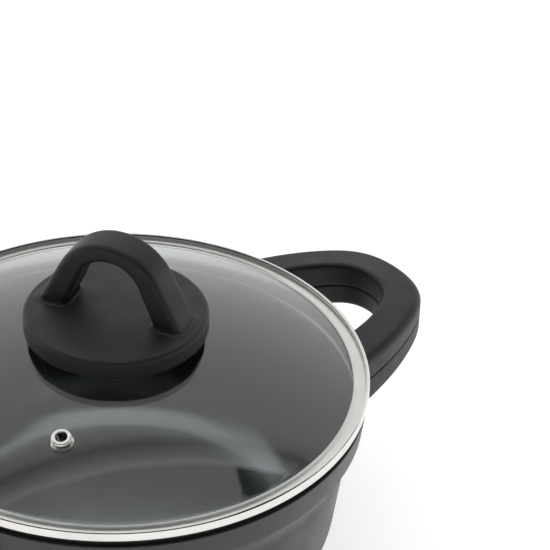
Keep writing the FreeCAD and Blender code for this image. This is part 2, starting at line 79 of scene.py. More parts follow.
SKIN = 0.03                                 # hairline between the glass and the steel rim
SEAT_Z = 86.15
SHEET_T = 0.5
RING_R, LIP_R, BAND_IN = 103.0, 101.6, 102.5
FLANGE_R, SKIRT_R, SKIRT_Z = 95.6, 97.3, 79.6
BEAD, BEAD_R = (97.05, 79.25), 0.32         # rolled lower edge of the skirt

KNOB_Z = APEX_Z + 0.9
KNOB_AZ = -60.8
KNOB_R, KNOB_T, KNOB_CROWN, KNOB_WALL = 37.2, 8.8, 0.8, 3.0
ARCH_OUT = (31.4, 27.2, 32.2)               # half span at the foot, lean, height of the peak
ARCH_IN = (19.6, 23.0, 24.7)
ARCH_WIDTH, ARCH_CROWN_R = 15.0, 130.0
ARCH_SUNK = 2.5                             # how far the arch reaches down into the foot
BOSS_R, HOLLOW_ROOF = 7.0, 3.8              # boss in the foot's hollow, and the foot's thickness over it
SEAL_BORE_R, SEAL_BORE_DEPTH = 7.1, 2.1
INSERT_BORE_R, INSERT_BORE_DEPTH = 3.5, 6.7

HANDLE_ROOT, HANDLE_END, HANDLE_TOP = 76.0, 153.4, 83.3
HANDLE_LOW, LOW_TILT = 64.4, 6.9            # height of the underside at the outer end, and its tilt
SEAM_Z, SEAM_TILT, SEAM_GAP = 73.725, 3.7, 0.35

# ---- fineness of the meshes, in millimetres ----
SUPPORT = 0.35                              # distance of a support point from the corner it holds
CORNER_TURN, CORNER_STEP = math.radians(11), 3.0
OUTLINE_STEP = 1.5
NET_STEP = 0.62


# ---- camera ----
def make_camera():
    """A long lens from above the near side; the pot sits low and left in the view."""
    bearing = math.radians(-124.8)          # where the camera stands, seen from the pot
    height = math.radians(36.06)            # above the rim of the lid
    distance = 0.927                        # metres from the middle of the rim
    turn = math.radians(4.81)               # to the right of the pot's middle
    dip = math.radians(33.62)               # below the horizon
    roll = math.radians(2.13)
    rim_z = 0.0901
    place = Vector((math.cos(bearing) * math.cos(height), math.sin(bearing) * math.cos(height),
                    math.sin(height))) * distance + Vector((0, 0, rim_z))
    heading = bearing + math.pi - turn
    ahead = Vector((math.cos(heading) * math.cos(dip), math.sin(heading) * math.cos(dip), -math.sin(dip)))
    right = Vector((math.sin(heading), -math.cos(heading), 0))
    up = right.cross(ahead)
    right_rolled = right * math.cos(roll) + up * math.sin(roll)
    up_rolled = up * math.cos(roll) - right * math.sin(roll)
    basis = Matrix((right_rolled, up_rolled, -ahead)).transposed().to_4x4()
    data = bpy.data.cameras.new("photo_camera")
    data.lens = 148.8
    data.sensor_width = 36.0
    data.clip_end = 50.0
    camera = bpy.data.objects.new("photo_camera", data)
    camera.matrix_world = Matrix.Translation(place) @ basis
    scene.collection.objects.link(camera)
    scene.camera = camera


# ---- node helpers ----
class Nodes:
    """A node tree under construction."""

    def __init__(self, tree):
        self.tree = tree

    def node(self, kind, **settings):
        node = self.tree.nodes.new(kind)
        for key, value in settings.items():
            setattr(node, key, value)
        return node

    def link(self, source, target):
        self.tree.links.new(source, target)

    def ramp(self, fac, stops):
        """Colour by (position, (red, green, blue)) stops."""
        node = self.node("ShaderNodeValToRGB")
        ramp = node.color_ramp
        while len(ramp.elements) < len(stops):
            ramp.elements.new(0.5)
        for element, (at, color) in zip(ramp.elements, stops):
            element.position = at
            element.color = (*color, 1.0)
        self.link(fac, node.inputs["Fac"])
        return node.outputs["Color"]

    def spread(self, fac, low, high, start=0.3, end=0.7):
        """A value that goes from low to high while fac goes from start to end."""
        node = self.node("ShaderNodeMapRange")
        for socket, value in zip(("From Min", "From Max", "To Min", "To Max"), (start, end, low, high)):
            node.inputs[socket].default_value = value
        self.link(fac, node.inputs["Value"])
        return node.outputs["Result"]


class Look(Nodes):
    """A material under construction; its patterns follow the object's own coordinates."""

    def __init__(self, name, **settings):
        self.material = bpy.data.materials.new(name)
        self.material.use_nodes = True
        super().__init__(self.material.node_tree)
        self.shader = self.tree.nodes["Principled BSDF"]
        for socket, value in settings.items():
            self.shader.inputs[socket.replace("_", " ")].default_value = value
        self.place = self.node("ShaderNodeTexCoord").outputs["Object"]

    def noise(self, scale, detail=3.0, place=None):
        node = self.node("ShaderNodeTexNoise")
        node.inputs["Scale"].default_value = scale
        node.inputs["Detail"].default_value = detail
        self.link(place or self.place, node.inputs["Vector"])
        return node.outputs["Fac"]

    def cells(self, scale, output="Color"):
        node = self.node("ShaderNodeTexVoronoi")
        node.inputs["Scale"].default_value = scale
        self.link(self.place, node.inputs["Vector"])
        return node.outputs[output]

    def rings(self, scale, detail=4.0):
        """Noise that only changes with height and distance from the axis, as turning leaves."""
        split = self.node("ShaderNodeSeparateXYZ")
        self.link(self.place, split.inputs[0])
        flat = self.node("ShaderNodeCombineXYZ")
        self.link(split.outputs["X"], flat.inputs["X"])
        self.link(split.outputs["Y"], flat.inputs["Y"])
        length = self.node("ShaderNodeVectorMath", operation="LENGTH")
        self.link(flat.outputs[0], length.inputs[0])
        track = self.node("ShaderNodeCombineXYZ")
        self.link(length.outputs["Value"], track.inputs["X"])
        self.link(split.outputs["Z"], track.inputs["Z"])
        return self.noise(scale, detail, track.outputs[0])

    def mix(self, fac, a, b):
        node = self.node("ShaderNodeMix", data_type="RGBA")
        color_sockets = [socket for socket in node.inputs if socket.type == "RGBA"]
        self.link(fac, node.inputs[0])
        self.link(a, color_sockets[0])
        self.link(b, color_sockets[1])
        return next(socket for socket in node.outputs if socket.type == "RGBA")

    def bump(self, height, strength, depth, under=None):
        """Relief with the given depth in metres, laid over the relief under it."""
        node = self.node("ShaderNodeBump")
        node.inputs["Strength"].default_value = strength
        node.inputs["Distance"].default_value = depth
        self.link(height, node.inputs["Height"])
        if under is not None:
            self.link(under, node.inputs["Normal"])
        return node.outputs["Normal"]

    def finish(self, color, roughness=None, normal=None):
        for source, socket in ((color, "Base Color"), (roughness, "Roughness"), (normal, "Normal")):
            if source is not None:
                self.link(source, self.shader.inputs[socket])
        return self.material


# ---- materials ----
def coat_outside():
    """Satin grey lacquer with a fine orange peel, a little uneven in tone and gloss."""
    look = Look("coat_outside", Coat_Weight=0.12, Coat_Roughness=0.3)
    tone = look.ramp(look.noise(22, 5), [(0.3, (0.026, 0.027, 0.032)), (0.7, (0.032, 0.033, 0.039))])
    gloss = look.spread(look.noise(60, 6), 0.40, 0.50)
    peel = look.bump(look.noise(1400, 2), strength=0.12, depth=0.00006)
    ripple = look.bump(look.noise(180, 2), strength=0.05, depth=0.0002, under=peel)
    return look.finish(tone, gloss, ripple)


def rebate_painted_shade():
    """Near-black colour in the rebate under the lid: the lip's own black coat, darkened further as painted
    shade for the shadow under the rim ring.
    """
    look = Look("rebate_painted_shade")
    # near-black tone: painted shade for the shadow under the rim ring, over the lip's own black coat
    tone = look.ramp(look.noise(90), [(0.3, (0.008, 0.008, 0.009)), (0.7, (0.013, 0.012, 0.012))])
    gloss = look.spread(look.noise(300), 0.45, 0.6)
    turning = look.bump(look.rings(2500), strength=0.1, depth=0.00004)
    return look.finish(tone, gloss, turning)


def coat_inside():
    """Dark non-stick coat with fine metal flakes."""
    look = Look("coat_inside", Metallic=0.97)
    is_flake = look.spread(look.cells(2600), 0.0, 1.0, start=0.93, end=0.97)
    ground = look.ramp(look.noise(45, 5), [(0.3, (0.150, 0.158, 0.166)), (0.7, (0.190, 0.199, 0.207))])
    flake = look.ramp(look.noise(500), [(0.3, (0.45, 0.46, 0.47)), (0.7, (0.8, 0.8, 0.8))])
    gloss = look.spread(look.noise(160, 4), 0.20, 0.25)
    grain = look.bump(look.cells(1900, "Distance"), strength=0.05, depth=0.00004)
    return look.finish(look.mix(is_flake, ground, flake), gloss, grain)


def soft_touch(name, low, high):
    """Soft-touch plastic: matt, with a fine grain, faint cloudiness and a little sheen."""
    look = Look(name, Specular_IOR_Level=0.42, Sheen_Weight=0.03, Sheen_Roughness=0.4)
    tone = look.ramp(look.noise(30, 6), [(0.3, low), (0.7, high)])
    gloss = look.spread(look.noise(75, 6), 0.46, 0.58)
    grain = look.bump(look.noise(5200, 2), strength=0.16, depth=0.00003)
    cloud = look.bump(look.noise(420, 3), strength=0.05, depth=0.0001, under=grain)
    return look.finish(tone, gloss, cloud)


def polished_steel(name, rough=(0.07, 0.16), line=0.05):
    """Warm stainless steel, turned and polished, with hairlines round it."""
    look = Look(name, Metallic=1.0)
    tone = look.ramp(look.noise(70, 4), [(0.3, (0.74, 0.72, 0.68)), (0.7, (0.83, 0.81, 0.77))])
    gloss = look.spread(look.rings(3000), *rough)
    hair = look.bump(look.rings(9000, 2), strength=line, depth=0.00003)
    wave = look.bump(look.noise(140), strength=0.02, depth=0.0001, under=hair)
    return look.finish(tone, gloss, wave)


def clear_glass():
    """Tempered glass: clear, very slightly green, with the faint waviness of its forming."""
    look = Look("clear_glass", Transmission_Weight=1.0, IOR=1.5)
    tone = look.ramp(look.noise(8), [(0.3, (0.965, 0.985, 0.975)), (0.7, (0.975, 0.99, 0.985))])
    smudge = look.spread(look.noise(24, 6), 0.003, 0.010)
    wave = look.bump(look.noise(14, 1), strength=0.02, depth=0.0004)
    return look.finish(tone, smudge, wave)


def turned_metal(name, low, high, rough):
    """Machined or plated metal with turning marks and a little tarnish."""
    look = Look(name, Metallic=1.0)
    tone = look.ramp(look.noise(260, 4), [(0.3, low), (0.7, high)])
    gloss = look.spread(look.noise(700), *rough)
    turning = look.bump(look.rings(4000), strength=0.12, depth=0.00004)
    return look.finish(tone, gloss, turning)


def silicone():
    """Black silicone with a fine matt grain."""
    look = Look("silicone_black")
    tone = look.ramp(look.noise(200), [(0.3, (0.018, 0.018, 0.019)), (0.7, (0.03, 0.03, 0.031))])
    gloss = look.spread(look.noise(500), 0.5, 0.7)
    grain = look.bump(look.noise(3000), strength=0.1, depth=0.00003)
    return look.finish(tone, gloss, grain)


def make_materials():
    """Every material, by the part of the pot that wears it."""
    soft_low, soft_high = (0.0110, 0.0132, 0.0165), (0.0150, 0.0178, 0.0220)
    return {
        "outside": coat_outside(),
        # near-black rebate: painted shade under the rim ring
        "rebate": rebate_painted_shade(),
        "inside": coat_inside(),
        "knob": soft_touch("soft_touch_knob", soft_low, soft_high),
        "shell": soft_touch("soft_touch_shell", soft_low, soft_high),
        "shell_low": soft_touch("soft_touch_low", (0.0150, 0.0155, 0.0170), (0.0195, 0.0200, 0.0220)),
        "steel": polished_steel("rim_steel"),
        "satin": polished_steel("rim_satin", rough=(0.32, 0.42), line=0.08),
        "vent": polished_steel("vent_steel", rough=(0.04, 0.1), line=0.02),
        "glass": clear_glass(),
        "base": turned_metal("base_steel", (0.45, 0.45, 0.44), (0.6, 0.6, 0.58), rough=(0.25, 0.4)),
        "zinc": turned_metal("screw_zinc", (0.5, 0.5, 0.49), (0.64, 0.63, 0.6), rough=(0.22, 0.36)),
        "brass": turned_metal("insert_brass", (0.6, 0.42, 0.16), (0.72, 0.55, 0.27), rough=(0.25, 0.4)),
        "silicone": silicone(),
    }


# ---- section and mesh helpers ----
def corner_points(before, at, after, radius):
    """Points that round one corner, with a support point on each side where there is room."""
    a, p, b = (np.array(q[:2], float) for q in (before, at, after))
    reach_a, reach_b = np.linalg.norm(a - p), np.linalg.norm(b - p)
    to_a, to_b = (a - p) / reach_a, (b - p) / reach_b
    half = math.acos(max(-1.0, min(1.0, float(to_a @ to_b)))) / 2
    cut = radius / math.tan(half)
    bisector = to_a + to_b
    mid = p + bisector / np.linalg.norm(bisector) * radius / math.sin(half)
    start, end = p + to_a * cut - mid, p + to_b * cut - mid
    sweep = math.pi - 2 * half
    steps = max(3, math.ceil(sweep / CORNER_TURN), math.ceil(radius * sweep / CORNER_STEP))
    points = []
    if reach_a > cut + 3 * SUPPORT:
        points.append(mid + start + to_a * SUPPORT)
    for i in range(steps + 1):
        t = i / steps
        blend = (start * math.sin((1 - t) * sweep) + end * math.sin(t * sweep)) / math.sin(sweep)
        points.append(mid + blend)
    if reach_b > cut + 3 * SUPPORT:
        points.append(mid + end + to_b * SUPPORT)
    return [(float(q[0]), float(q[1])) for q in points]


def section(corners):
    """A closed polyline from (x, y, radius, tag) corners; each point keeps its corner's tag."""
    points = []
    for i, (x, y, radius, tag) in enumerate(corners):
        if radius <= 0:
            points.append((x, y, tag))
        else:
            round_points = corner_points(corners[i - 1], (x, y), corners[(i + 1) % len(corners)], radius)
            points += [(px, py, tag) for px, py in round_points]
    return points


def arc_points(middle, radius, start, end, step, tag):
    """Points of an arc, both ends included, at most step apart."""
    count = max(4, math.ceil(abs(math.radians(end - start)) * radius / step))
    angles = [math.radians(start + (end - start) * i / count) for i in range(count + 1)]
    return [(middle[0] + radius * math.cos(a), middle[1] + radius * math.sin(a), tag) for a in angles]


def three_point_arc(a, b, c, step, tag):
    """Points of the arc from a through b to c, both ends included."""
    (ax, ay), (bx, by), (cx, cy) = a, b, c
    d = 2 * (ax * (by - cy) + bx * (cy - ay) + cx * (ay - by))
    squares = [x * x + y * y for x, y in (a, b, c)]
    mid_x = (squares[0] * (by - cy) + squares[1] * (cy - ay) + squares[2] * (ay - by)) / d
    mid_y = (squares[0] * (cx - bx) + squares[1] * (ax - cx) + squares[2] * (bx - ax)) / d
    start = math.degrees(math.atan2(ay - mid_y, ax - mid_x))
    end = math.degrees(math.atan2(cy - mid_y, cx - mid_x))
    turn = (end - start + 180) % 360 - 180
    radius = math.hypot(ax - mid_x, ay - mid_y)
    return arc_points((mid_x, mid_y), radius, start, start + turn, step, tag)


def new_piece(name, mesh, materials, body, slot, *replaced):
    """An object for a finished mesh, parented to its body's empty, with the CAD parts it replaces hidden."""
    piece = bpy.data.objects.new(name, mesh)
    scene.collection.objects.link(piece)
    for material in materials:
        mesh.materials.append(material)
    for polygon in mesh.polygons:
        polygon.use_smooth = True
    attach(piece, body)
    if replaced:
        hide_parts(*replaced)
    return piece


def mesh_from(work, name):
    """The finished mesh of a bmesh, which is freed."""
    mesh = bpy.data.meshes.new(name)
    work.to_mesh(mesh)
    work.free()
    return mesh


def lathe(name, points, segments=256):
    """A closed section turned about Z, from (radius, height, material index) points.

    The index is that of the strip that starts at the point.
    """
    work = bmesh.new()
    angles = [2 * math.pi * k / segments for k in range(segments)]
    rings = []
    for radius, height, _ in points:
        if radius < 1e-6:
            rings.append([work.verts.new((0, 0, height * MM))])
        else:
            rings.append([work.verts.new((radius * math.cos(a) * MM, radius * math.sin(a) * MM, height * MM))
                          for a in angles])
    for i, ring in enumerate(rings):
        other = rings[(i + 1) % len(rings)]
        if len(ring) == 1 and len(other) == 1:
            continue
        for k in range(segments):
            after = (k + 1) % segments
            corners = [ring[k % len(ring)], ring[after % len(ring)],
                       other[after % len(other)], other[k % len(other)]]
            face = work.faces.new(list(dict.fromkeys(corners)))
            face.material_index = points[i][2]
    bmesh.ops.recalc_face_normals(work, faces=work.faces)
    return mesh_from(work, name)


def drill_mesh(name, radius, depth, segments, place):
    """A plain cylinder to cut a hole with, its axis on the Z axis of the place's frame."""
    work = bmesh.new()
    bmesh.ops.create_cone(work, segments=segments, radius1=radius * MM, radius2=radius * MM,
                          depth=depth * MM, cap_ends=True, matrix=place)
    return mesh_from(work, name)


def cut_away(mesh, tool_mesh):
    """Cuts one closed mesh out of another and returns the result as a new mesh."""
    body = bpy.data.objects.new("cut_body", mesh)
    tool = bpy.data.objects.new("cut_tool", tool_mesh)
    for thing in (body, tool):
        scene.collection.objects.link(thing)
    step = body.modifiers.new("cut", "BOOLEAN")
    step.operation = "DIFFERENCE"
    step.solver = "EXACT"
    step.object = tool
    bpy.context.view_layer.update()
    result = bpy.data.meshes.new_from_object(body.evaluated_get(bpy.context.evaluated_depsgraph_get()))
    result.name = mesh.name + "_cut"
    for thing in (body, tool):
        bpy.data.objects.remove(thing)
    if not result.polygons:
        raise RuntimeError(mesh.name + ": nothing is left after the cut")
    return result


def joined(name, meshes):
    """One mesh from several, in the same coordinates."""
    work = bmesh.new()
    for mesh in meshes:
        work.from_mesh(mesh)
    return mesh_from(work, name)


def vent_place():
    """From a frame on the Z axis, with z = 0 on the outer glass, to the vent's place."""
    tilt = math.asin(VENT_R / DOME_R)
    return (Matrix.Rotation(math.radians(VENT_AZ), 4, "Z") @ Matrix.Translation((0, 0, DOME_MID_Z * MM))
            @ Matrix.Rotation(tilt, 4, "Y") @ Matrix.Translation((0, 0, DOME_R * MM)))


# ---- pot ----
def bowl_curve(offset, corner, floor, tag):
    """The bowl's corner curve and the top of its straight wall, moved out by offset."""
    lean = math.radians(WALL_LEAN)
    mid_z = floor + corner
    wall_x = WALL_TOP[0] + (mid_z - WALL_TOP[1]) * math.tan(lean) + offset / math.cos(lean)
    mid_x = wall_x - corner / math.cos(lean)
    curve = arc_points((mid_x, mid_z), corner, -90, -WALL_LEAN, 2.0, tag)
    top = (WALL_TOP[0] + offset / math.cos(lean), WALL_TOP[1])
    return curve, top


def make_pot(looks):
    """Cast bowl: lacquer outside, a near-black rebate under the lid that carries painted shade, non-stick
    coat inside, four lugs.
    """
    outer, black, inner = 0, 1, 2
    curve, top = bowl_curve(0.0, CORNER_OUT, 0.0, outer)
    base_r = curve[0][0]
    points = [(0.0, PLATE_T, outer), (PLATE_R - 0.4, PLATE_T, outer)]
    points += section([(0, PLATE_T, 0, outer), (PLATE_R, PLATE_T, 0.15, outer), (PLATE_R, 0.0, 0.3, outer),
                       (base_r, 0.0, 0, outer)])[1:-1]
    points += [(base_r - 3, 0.0, outer)] + curve
    points += [(top[0] - 0.6, top[1] - 4.9, outer)]
    points += three_point_arc(top, COLLAR_WAIST, COLLAR_MID, 1.2, outer)[:-1]
    # the rebate strips take the near-black look, painted shade for the shadow under the rim ring
    points += section([(*COLLAR_WAIST, 0, outer), (*COLLAR_LOW, 0.7, outer), (*COLLAR_TOP, 0.45, outer),
                       (REBATE_R, COLLAR_TOP[1], 0.25, black), (REBATE_R, POT_H, 0.5, black),
                       (MOUTH_R, POT_H, 0.5, inner), (MOUTH_R, LEDGE_Z, 0.3, inner),
                       (*LEDGE_FOOT, 0.5, inner), (*INNER_WAIST, 0, inner)])[1:-1]
    inner_curve, inner_top = bowl_curve(-WALL_T, CORNER_IN, FLOOR_T, inner)
    points += three_point_arc(inner_top, INNER_WAIST, INNER_MID, 1.5, inner)[::-1]
    points += inner_curve[::-1]
    points += [(40.0, FLOOR_T, inner), (0.0, FLOOR_T, inner)]
    meshes = [lathe("pot_wall", points)]
    for turn, side in itertools.product((0, 180), (-1, 1)):
        meshes.append(lug_mesh(turn, side))
    coats = [looks["outside"], looks["rebate"], looks["inside"]]
    pot = new_piece("pot_bowl", joined("pot_bowl", meshes), coats, "pot", "coated_aluminium", "pot_body")
    pot.data.set_sharp_from_angle(angle=math.radians(50))


def lug_mesh(turn, side):
    """A cast lug on the wall, inside a leg of a handle, with the hole for its screw."""
    size = Vector((LUG_X[1] - LUG_X[0], LUG_WIDTH, LUG_HEIGHT)) * MM
    middle = Vector((sum(LUG_X) / 2, side * LUG_Y, LUG_Z)) * MM
    work = bmesh.new()
    bmesh.ops.create_cube(work, size=1.0, matrix=Matrix.Translation(middle) @ Matrix.Diagonal((*size, 1)))
    bmesh.ops.bevel(work, geom=work.edges[:], offset=0.8 * MM, segments=3, affect="EDGES")
    block = mesh_from(work, "lug")
    hole_place = Matrix.Translation(Vector((LUG_SCREW_X, side * LUG_Y, LUG_HOLE_Z)) * MM)
    mesh = cut_away(block, drill_mesh("lug_drill", LUG_HOLE_R, LUG_HOLE_DEPTH, 32, hole_place))
    mesh.transform(Matrix.Rotation(math.radians(turn), 4, "Z"))
    return mesh


# ---- lid ----
def dome_points(offset):
    """Dome and foot curve of one face of the glass, offset inwards from the outer face."""
    radius, flat, fillet = DOME_R - offset, GLASS_TOP - offset, DOME_FILLET + offset
    mid_z = flat + fillet
    mid_x = math.sqrt((radius + fillet) ** 2 - (mid_z - DOME_MID_Z) ** 2)
    angle = math.degrees(math.atan2(mid_z - DOME_MID_Z, mid_x))
    bore = math.degrees(math.acos(DOME_START_R / radius))
    dome = arc_points((0, DOME_MID_Z), radius, bore, angle, 2.0, 0)
    foot = arc_points((mid_x, mid_z), fillet, 180 + angle, 270, 0.5, 0)
    return dome + foot[1:]


def make_glass(looks):
    """Domed glass with ground edges, a hole in the middle and one for the steam vent."""
    flat_r = 99.0
    points = dome_points(0)
    points += section([(flat_r, GLASS_TOP, 0, 0), (GLASS_R, GLASS_TOP, 0.8, 0), (GLASS_R, GLASS_LOW, 0.8, 0),
                       (flat_r, GLASS_LOW, 0, 0)])[1:-1]
    points += dome_points(GLASS_TOP - GLASS_LOW)[::-1]
    low, high = points[-1][1], points[0][1]
    points += section([(DOME_START_R, low, 0, 0), (BORE_R, low + 0.03, 0.4, 0),
                       (BORE_R, high + 0.03, 0.4, 0), (DOME_START_R, high, 0, 0)])[1:-1]
    drill = drill_mesh("vent_drill", VENT_HOLE_R, 14, 64, vent_place())
    mesh = cut_away(lathe("glass_dome", points, 360), drill)
    glass = new_piece("glass_dome", mesh, [looks["glass"]], "lid", "lid_glass", "lid_glass")
    glass.data.set_sharp_from_angle(angle=math.radians(40))


def make_rim(looks):
    """Rolled steel rim: top lip, outer band, flange under the glass, skirt with a rolled bead."""
    polished, satin = 0, 1
    top = GLASS_TOP + SHEET_T
    glass_top, glass_low = GLASS_TOP + SKIN, GLASS_LOW - SKIN
    points = section([
        (LIP_R, glass_top, 0.05, polished), (LIP_R, top, 0.24, polished), (RING_R, top, 0.9, polished),
        (RING_R, SEAT_Z, 0.9, polished), (SKIRT_R, SEAT_Z, 0.5, satin), (SKIRT_R, SKIRT_Z, 0, satin)])[:-1]
    points += arc_points(BEAD, BEAD_R, 25, -205, 0.12, polished)
    skirt_in = SKIRT_R - SHEET_T
    points += section([
        (skirt_in, SKIRT_Z, 0, satin), (skirt_in, SEAT_Z, 0, satin),
        (FLANGE_R, SEAT_Z, 0.2, satin), (FLANGE_R, glass_low, 0.2, satin),
        (BAND_IN, glass_low, 0.4, satin), (BAND_IN, glass_top, 0.4, satin)])[1:]
    mesh = lathe("rim_ring", points, 360)
    ring = new_piece("rim_ring", mesh, [looks["steel"], looks["satin"]], "lid", "rim_steel", "lid_rim")
    ring.data.set_sharp_from_angle(angle=math.radians(50))


def make_vent(looks):
    """Steam vent: a rolled bright flange round a dark bore, rolled over under the glass."""
    bore, tube = 2.25, 3.3          # inner and outer radius of the eyelet's wall
    points = section([
        (bore, 1.3, 0.5, 0), (3.75, 1.3, 0.8, 0), (4.45, 0.12, 0.35, 0), (tube, 0.12, 0.1, 0),
        (tube, -3.6, 0.1, 0), (3.9, -4.1, 0.25, 0), (2.6, -4.35, 0.3, 0), (bore, -3.8, 0.2, 0)])
    mesh = lathe("vent_ring", points, 96)
    mesh.transform(vent_place())
    vent = new_piece("vent_ring", mesh, [looks["vent"]], "lid", "rim_steel", "vent_eyelet")
    vent.data.set_sharp_from_angle(angle=math.radians(50))


# ---- moulded pieces, from the signed distance to their surface ----
def meet(a, b, radius):
    """Inside both shapes, with the edge between them rounded."""
    rounded = np.hypot(np.maximum(a + radius, 0), np.maximum(b + radius, 0))
    return np.minimum(-radius, np.maximum(a, b)) + rounded


def merge(a, b, radius):
    """Inside either shape, with a fillet between them."""
    return -meet(-a, -b, radius)


def net_points(field, low):
    """One point in each grid cell that the surface passes through, and the cells' point numbers."""
    cells = np.array(field.shape) - 1

    def corner(offset):
        return field[tuple(slice(o, o + n) for o, n in zip(offset, cells))]

    total = np.zeros((*cells, 3))
    crossings = np.zeros(cells)
    for axis in range(3):
        for pair in itertools.product((0, 1), repeat=2):
            start = list(pair)
            start.insert(axis, 0)
            end = list(start)
            end[axis] = 1
            fa, fb = corner(start), corner(end)
            crossed = (fa < 0) != (fb < 0)
            part = np.where(crossed, fa / np.where(crossed, fa - fb, 1.0), 0.0)
            for k in range(3):
                total[..., k] += crossed * (start[k] + (part if k == axis else 0.0))
            crossings += crossed
    active = crossings > 0
    index = np.full(cells, -1)
    index[active] = np.arange(active.sum())
    points = low + NET_STEP * (np.argwhere(active) + total[active] / crossings[active][:, None])
    return points, index


def net_quads(inside, index):
    """One quad round each grid line that the surface crosses, facing outwards."""
    faces = []
    for axis in range(3):
        u, v = [k for k in range(3) if k != axis]
        first = tuple(slice(0, -1) if k == axis else slice(1, -1) for k in range(3))
        second = tuple(slice(1, None) if k == axis else slice(1, -1) for k in range(3))
        a, b = inside[first], inside[second]
        for flips, crossed in enumerate((a & ~b, b & ~a)):
            at = np.argwhere(crossed)
            at[:, u] += 1
            at[:, v] += 1
            quad = []
            for du, dv in ((0, 0), (-1, 0), (-1, -1), (0, -1)):
                cell = at.copy()
                cell[:, u] += du
                cell[:, v] += dv
                quad.append(index[cell[:, 0], cell[:, 1], cell[:, 2]])
            quad = np.stack(quad, axis=1)
            faces.append(quad[:, ::-1] if (flips + (axis == 1)) % 2 else quad)
    return np.concatenate(faces)


def settled(points, shape):
    """The points, moved along the slope of shape until they lie on its surface."""
    nudge, rounds = 0.02, 6
    for _ in range(rounds):
        value = shape(*points.T)
        slope = np.stack([(shape(*(points + nudge * e).T) - shape(*(points - nudge * e).T)) / (2 * nudge)
                          for e in np.eye(3)], axis=1)
        move = -(value / np.maximum((slope ** 2).sum(axis=1), 0.25))[:, None] * slope
        size = np.linalg.norm(move, axis=1, keepdims=True)
        points = points + move * np.minimum(1.0, 0.5 * NET_STEP / np.maximum(size, 1e-9))
    return points


def moulded(name, shape, low, high):
    """Mesh of the surface where shape(x, y, z) is zero: even quads, drawn onto the exact surface."""
    low = np.array(low, float)
    counts = np.ceil((np.array(high) - low) / NET_STEP).astype(int) + 1
    axes = [low[i] + NET_STEP * np.arange(counts[i]) for i in range(3)]
    field = shape(axes[0][:, None, None], axes[1][None, :, None], axes[2][None, None, :])
    field = np.broadcast_to(field, counts)
    points, index = net_points(field, low)
    faces = net_quads(field < 0, index)
    mesh = bpy.data.meshes.new(name)
    mesh.from_pydata((settled(points, shape) * MM).tolist(), [], faces.tolist())
    mesh.update()
    return mesh


def strip_distance(x, z, lean, middle, radius):
    """Signed distance to one outline of the arch: a round top with legs that lean in."""
    side = np.abs(x)
    a = math.radians(lean)
    leg = side * math.cos(a) + (z - middle) * math.sin(a) - radius
    top = np.hypot(side, z - middle) - radius
    return np.where(np.arctan2(z - middle, side) > a, top, leg)


def arch_outline(foot, lean, peak):
    """Middle height and radius of an arch outline that starts at foot, on the height zero."""
    a = math.radians(lean)
    middle = (peak - foot * math.cos(a)) / (1 - math.sin(a))
    return middle, peak - middle


def arch_band(x, y, z):
    """The arch before it meets the foot; z is measured from the top of the foot."""
    out_foot, out_lean, out_peak = ARCH_OUT
    in_foot, in_lean, in_peak = ARCH_IN
    out_mid, out_r = arch_outline(out_foot, out_lean, out_peak)
    in_mid, in_r = arch_outline(in_foot, in_lean, in_peak)
    out = strip_distance(x, z, out_lean, out_mid, out_r) + y ** 2 / (2 * ARCH_CROWN_R)
    hole = -strip_distance(x, z, in_lean, in_mid, in_r)
    width = np.abs(y) - ARCH_WIDTH / 2
    band = np.maximum(meet(out, width, 2.1), meet(hole, width, 1.8))
    return np.maximum(band, -ARCH_SUNK - z)


def knob_hollow(rho, z):
    """The hollow of the foot round its middle boss, and the stepped bore for the insert and screw."""
    hollow = meet(rho - (KNOB_R - KNOB_WALL), z - (KNOB_Z + KNOB_T - HOLLOW_ROOF), 1.0)
    hollow = np.maximum(hollow, BOSS_R - rho)
    seal_bore = np.maximum(rho - SEAL_BORE_R, z - KNOB_Z - SEAL_BORE_DEPTH)
    insert_bore = np.maximum(rho - INSERT_BORE_R, z - KNOB_Z - INSERT_BORE_DEPTH)
    return np.minimum(hollow, np.minimum(seal_bore, insert_bore))


def knob_shape(x, y, z):
    """The knob: round foot, hollow below, and the arch, which stands on it in small raised lips."""
    knob_top = KNOB_Z + KNOB_T
    rho = np.hypot(x, y)
    crown_r = (KNOB_R ** 2 + KNOB_CROWN ** 2) / (2 * KNOB_CROWN)
    crown = np.sqrt(rho ** 2 + (z - knob_top + crown_r) ** 2) - crown_r
    foot = meet(meet(rho - KNOB_R, crown, 1.9), KNOB_Z - z, 0.5)
    band = arch_band(x, y, z - knob_top)
    lip = np.hypot(band - 0.9, crown + 0.15) - 0.75
    lip = np.maximum(lip, rho - (KNOB_R - 1.0))
    grip = merge(foot, band, 0.9)
    grip = merge(grip, lip, 0.5)
    return np.maximum(grip, -knob_hollow(rho, z))


def make_knob(looks):
    """Foot and arch of the knob, in one moulding."""
    side, margin = KNOB_R + 1.3, 1.4
    low = (-side, -side, KNOB_Z - margin)
    high = (side, side, KNOB_Z + KNOB_T + ARCH_OUT[2] + margin)
    mesh = moulded("knob_moulding", knob_shape, low, high)
    mesh.transform(Matrix.Rotation(math.radians(KNOB_AZ), 4, "Z"))
    knob = new_piece("knob_moulding", mesh, [looks["knob"]], "lid", "soft_touch", "knob_grip")
    knob.data.set_sharp_from_angle(angle=math.radians(60))


def eased(ring, reach):
    """The closed outline with its curvature evened out over a length of about reach."""
    lengths = np.linalg.norm(np.roll(ring, -1, axis=0) - ring, axis=1)
    track = np.concatenate([[0], np.cumsum(lengths)])
    closed = np.concatenate([ring, ring[:1]])
    count = int(track[-1] / OUTLINE_STEP)
    at = np.linspace(0, track[-1], count, endpoint=False)
    even = np.stack([np.interp(at, track, closed[:, k]) for k in range(2)], axis=1)
    spacing = track[-1] / count
    steps = np.arange(-int(3 * reach / spacing), int(3 * reach / spacing) + 1)
    weights = np.exp(-0.5 * (steps * spacing / reach) ** 2)
    return sum(w * np.roll(even, k, axis=0) for k, w in zip(steps, weights / weights.sum()))


